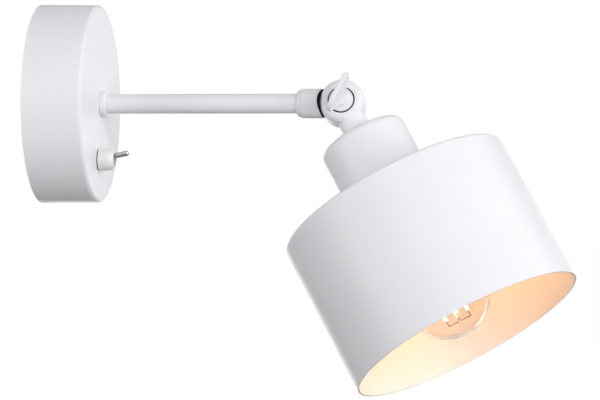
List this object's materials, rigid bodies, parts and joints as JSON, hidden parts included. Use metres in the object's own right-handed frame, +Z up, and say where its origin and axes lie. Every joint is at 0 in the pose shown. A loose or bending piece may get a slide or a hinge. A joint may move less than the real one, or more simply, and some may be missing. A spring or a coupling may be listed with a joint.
{
  "type": "wall-mounted reading lamp",
  "caption": "Wall reading lamp: round wall plate with toggle switch, straight fixed arm, tilting knuckle with wing screw, and a drum shade with a globe bulb.",
  "frame": {"origin": "centre of the wall plate on the wall plane", "axes": "+X out of the wall along the arm, +Z up, +Y to the side so that the wing screw is on -Y"},
  "size_m": [0.2835, 0.1258, 0.2058],
  "materials": {
    "white_coat": "satin white powder coat",
    "white_plastic": "smooth white moulded plastic",
    "bright_chrome": "polished chrome plating",
    "zinc_steel": "bright zinc plated steel",
    "brass": "plain turned and stamped brass",
    "clear_nylon": "milky translucent nylon",
    "dark_plastic": "black moulded plastic",
    "black_rubber": "dull black",
    "holder_plastic": "white heat proof moulding",
    "white_ceramic": "glazed porcelain",
    "nickel_shell": "thin rolled nickel plated sheet",
    "bulb_glass": "clear blown glass",
    "dark_glass": "fused black glass",
    "light_stick": "yellow coated light stick",
    "nickel_wire": "bright drawn wire",
    "lead_insulation": "soft smooth insulation"
  },
  "bodies": {
    "wall_arm": {"canopy": "white_coat", "canopy_screws": "white_coat", "arm_tube": "white_coat", "arm_collar": "white_coat", "joint_lock_ring": "white_coat", "knuckle_rear": "white_coat", "switch_sleeve": "white_plastic", "wall_bracket": "zinc_steel", "clamp_screws": "zinc_steel", "block_screw": "zinc_steel", "earth_screw": "zinc_steel", "earth_lug": "zinc_steel", "arm_washer": "zinc_steel", "arm_nut": "zinc_steel", "switch_bushing": "zinc_steel", "switch_washer": "zinc_steel", "switch_nut": "zinc_steel", "terminal_inserts": "brass", "switch_terminals": "brass", "terminal_block": "clear_nylon", "switch_housing": "dark_plastic", "friction_washer": "black_rubber", "mouth_liner": "black_rubber", "switch_gasket": "black_rubber", "arm_leads": "lead_insulation"},
    "head": {"knuckle_front": "white_coat", "head_mouth_liner": "black_rubber", "cup": "white_coat", "shade": "white_coat", "hollow_thread": "zinc_steel", "cup_washer": "zinc_steel", "cup_nut": "zinc_steel", "shade_ring": "white_plastic", "holder_cap": "holder_plastic", "holder_core": "white_ceramic", "holder_skirt": "holder_plastic", "screw_shell": "nickel_shell", "centre_contact": "brass", "head_leads": "lead_insulation"},
    "wing_screw": {"wing_screw": "white_coat"},
    "switch_lever": {"switch_lever": "bright_chrome"},
    "bulb": {"bulb_cap": "nickel_shell", "bulb_insulator": "dark_glass", "bulb_contact": "brass", "bulb_glass": "bulb_glass", "bulb_mount": "bulb_glass", "bulb_pillar": "bulb_glass", "filaments": "light_stick", "filament_supports": "nickel_wire"}
  },
  "joints": [
    {"name": "head_tilt", "type": "hinge", "parent": "wall_arm", "child": "head", "pos_m": [0.1604, 0, 0], "axis": [0, 1, 0], "range_deg": [-151, 29]},
    {"name": "wing_turn", "type": "hinge", "parent": "wall_arm", "child": "wing_screw", "pos_m": [0.1604, 0, 0], "axis": [0, 1, 0], "continuous": true},
    {"name": "switch_throw", "type": "hinge", "parent": "wall_arm", "child": "switch_lever", "pos_m": [0.0305, 0, -0.0305], "axis": [0, 1, 0], "range_deg": [0, 24]},
    {"name": "bulb_out", "type": "slide", "parent": "head", "child": "bulb", "axis": [0.4848, 0, -0.8746], "range_m": [0, 0.085]}
  ]
}
